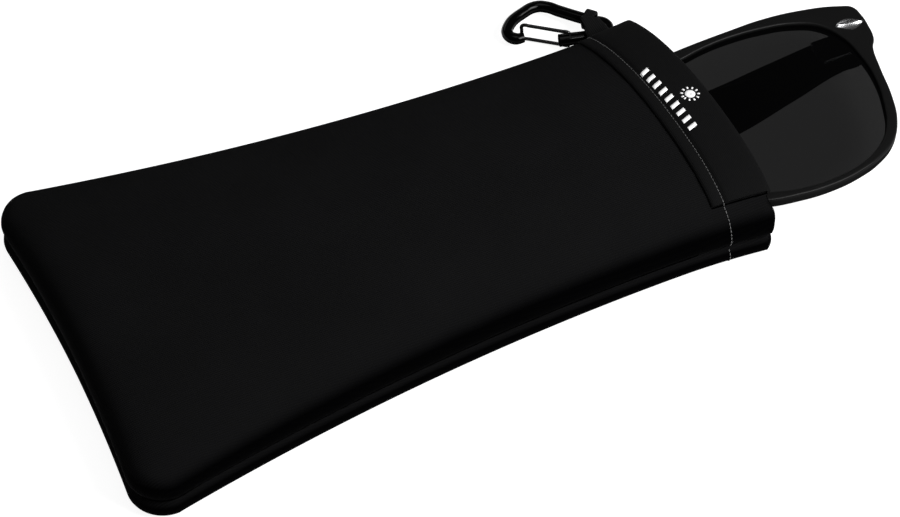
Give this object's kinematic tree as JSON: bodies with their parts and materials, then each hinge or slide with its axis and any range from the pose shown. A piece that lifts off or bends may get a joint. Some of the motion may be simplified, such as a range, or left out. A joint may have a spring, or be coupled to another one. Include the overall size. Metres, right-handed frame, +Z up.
{
  "type": "clip-on sunglasses sleeve",
  "caption": "Soft flat sleeve with a webbing loop and wire-gate carabiner, holding folded full-rim sunglasses half out of its mouth.",
  "frame": {"origin": "middle of the bounding box's base, on the surface that the sleeve lies on", "axes": "+X from the sleeve's closed end to its mouth, +Y to the side with the carabiner, +Z up"},
  "size_m": [0.2106, 0.1044, 0.0192],
  "materials": {
    "neoprene": "matt knit-faced neoprene",
    "casing_tape": "fine ribbed tape",
    "webbing": "woven",
    "steel": "bright",
    "black_enamel": "gloss black",
    "black_wire": "gloss black wire",
    "acetate": "satin black",
    "lens_tint": "dark grey tint",
    "stud_silver": "polished"
  },
  "bodies": {
    "sleeve": {"top_panel": "neoprene", "bottom_panel": "neoprene", "mouth_casing_top": "casing_tape", "mouth_casing_bottom": "casing_tape", "spring_strip_top": "steel", "spring_strip_bottom": "steel"},
    "carabiner": {"carabiner_frame": "black_enamel", "webbing_loop": "webbing"},
    "gate": {"carabiner_gate": "black_wire"},
    "sunglasses": {"frame_front": "acetate", "lens_left": "lens_tint", "lens_right": "lens_tint", "corner_stud_left": "stud_silver", "corner_stud_right": "stud_silver", "front_hinge_left": "steel", "front_hinge_right": "steel", "hinge_screw_left": "steel", "hinge_screw_right": "steel"},
    "right_arm": {"arm_right": "acetate", "arm_hinge_right": "steel"},
    "left_arm": {"arm_left": "acetate", "arm_hinge_left": "steel"}
  },
  "joints": [
    {"name": "sunglasses_slide", "type": "slide", "parent": "sleeve", "child": "sunglasses", "axis": [1, 0, 0], "range_m": [-0.05, 0.15]},
    {"name": "carabiner_swing", "type": "hinge", "parent": "sleeve", "child": "carabiner", "pos_m": [0.04735, 0.03071, 0.00535], "axis": [1, 0, 0], "range_deg": [0, 100], "deforming": ["webbing_loop"]},
    {"name": "gate_hinge", "type": "hinge", "parent": "carabiner", "child": "gate", "pos_m": [0.04201, 0.03731, 0.003], "axis": [0, 0, -1], "range_deg": [0, 20], "stiffness_Nm_per_rad": 0.05, "springref_deg": -11.46},
    {"name": "right_arm_fold", "type": "hinge", "parent": "sunglasses", "child": "right_arm", "pos_m": [0.10111, -0.00507, 0.00811], "axis": [0, -0.9986, -0.0523], "range_deg": [0, 88], "deforming": ["bottom_panel", "mouth_casing_bottom", "spring_strip_bottom"]},
    {"name": "left_arm_fold", "type": "hinge", "parent": "sunglasses", "child": "left_arm", "pos_m": [-0.04149, -0.00507, 0.00811], "axis": [0, 0.9986, 0.0523], "range_deg": [-0.4, 0.1]}
  ]
}
